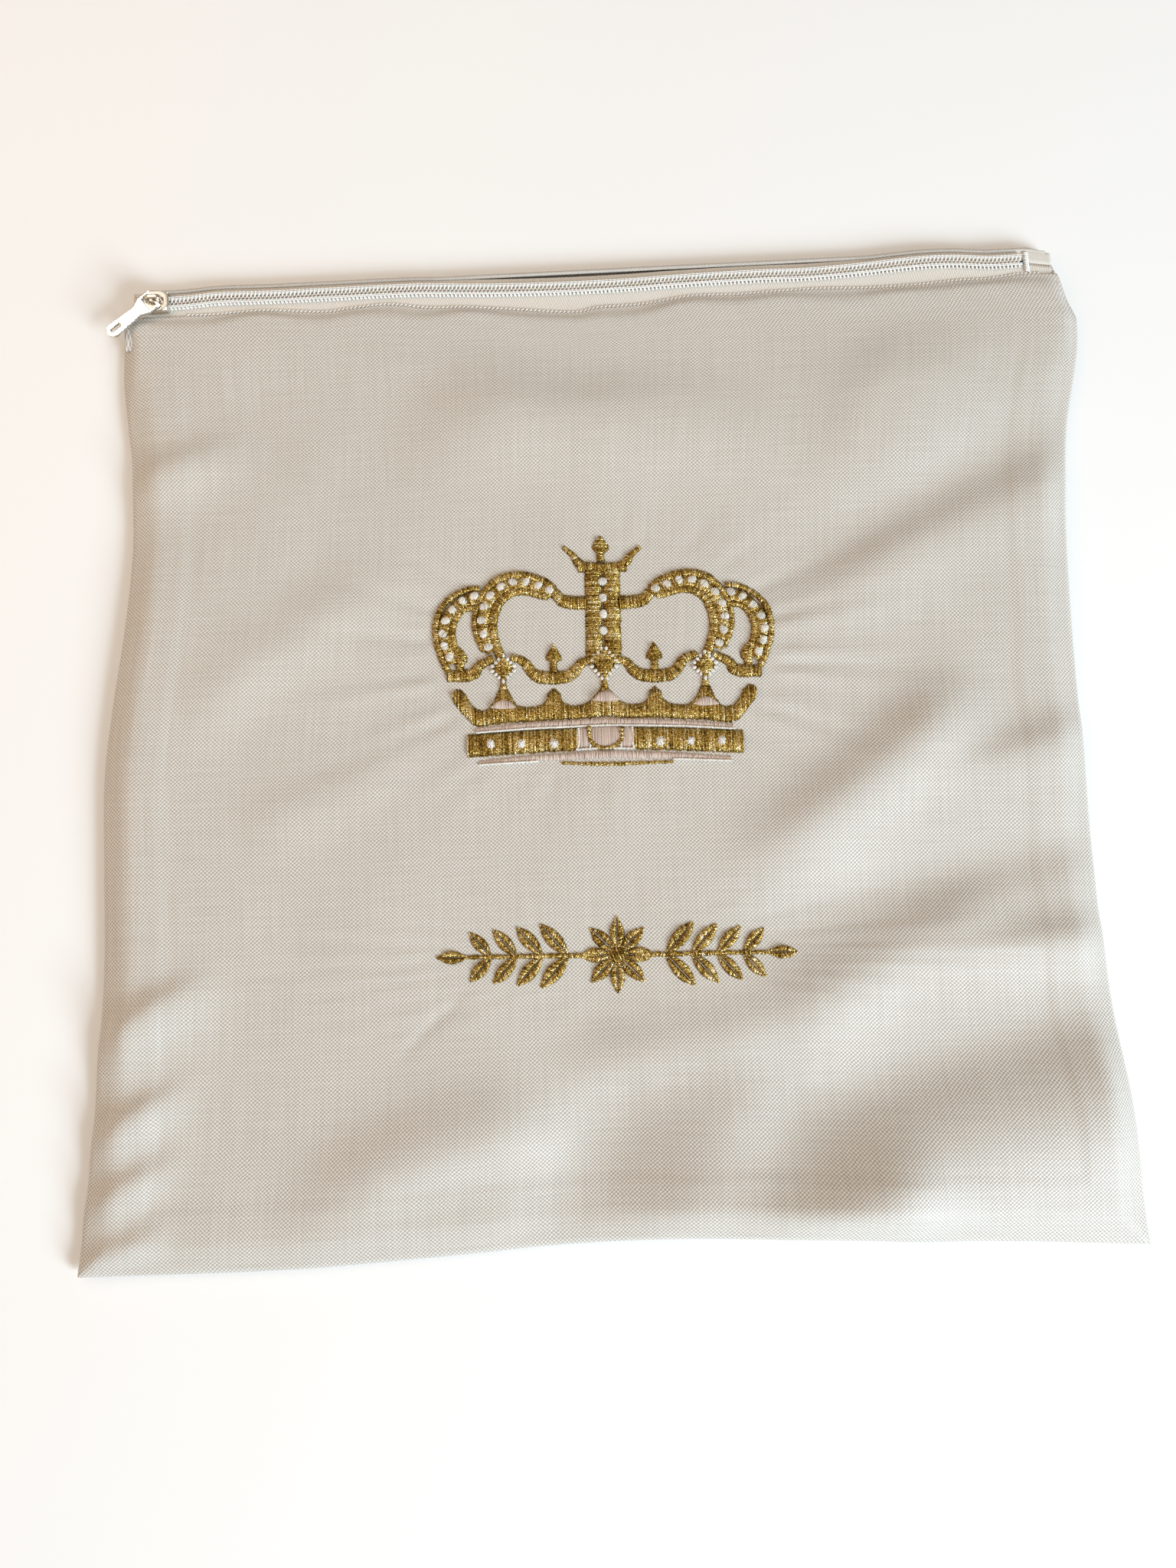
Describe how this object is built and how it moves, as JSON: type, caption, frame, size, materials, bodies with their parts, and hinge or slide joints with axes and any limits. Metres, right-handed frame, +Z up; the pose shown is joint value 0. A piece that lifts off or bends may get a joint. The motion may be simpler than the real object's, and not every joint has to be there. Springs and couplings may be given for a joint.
{
  "type": "zipped fabric pouch",
  "caption": "Flat square fabric pouch for a prayer book, closed by a coil zipper along its top edge, with a gold embroidered crown and a leafy spray on its face.",
  "frame": {"origin": "on the flat underside, in the middle of the back panel, 147.5 mm above the foot of the pouch", "axes": "+Z up through the embroidered face, +X to the right along the foot, +Y towards the zipper"},
  "size_m": [0.3021, 0.3062, 0.0093],
  "materials": {
    "pouch_fabric": "satin",
    "sewing_thread": "satin",
    "backing": "matte",
    "bobbin_thread": "satin",
    "gold_thread": "metallic satin",
    "pale_thread": "satin",
    "white_thread": "satin",
    "zip_tape": "satin",
    "zip_coil": "satin",
    "zip_cord": "matte",
    "zip_thread": "satin",
    "slider_metal": "polished",
    "tab_metal": "polished"
  },
  "bodies": {
    "pouch": {"front_panel": "pouch_fabric", "back_panel": "pouch_fabric", "panel_seam_thread": "sewing_thread", "crown_backing": "backing", "crown_bobbin_thread": "bobbin_thread", "crown_gold_thread": "gold_thread", "crown_pale_thread": "pale_thread", "crown_pearl_thread": "white_thread", "spray_backing": "backing", "spray_bobbin_thread": "bobbin_thread", "spray_gold_thread": "gold_thread", "front_tape": "zip_tape", "back_tape": "zip_tape", "front_coil": "zip_coil", "back_coil": "zip_coil", "front_coil_cord": "zip_cord", "back_coil_cord": "zip_cord", "front_coil_stitching": "zip_thread", "back_coil_stitching": "zip_thread", "front_tape_thread": "sewing_thread", "back_tape_thread": "sewing_thread", "left_end_tack": "sewing_thread", "right_end_tack": "sewing_thread"},
    "slider": {"slider_body": "slider_metal"},
    "tab": {"pull_tab": "tab_metal"}
  },
  "joints": [
    {"name": "slider_run", "type": "slide", "parent": "pouch", "child": "slider", "axis": [0.9993, 0.0384, 0], "range_m": [0, 0.267]},
    {"name": "tab_flip", "type": "hinge", "parent": "slider", "child": "tab", "pos_m": [-0.1375, 0.14222, 0.0075], "axis": [-0.6184, 0.7859, 0], "range_deg": [0, 172]}
  ]
}
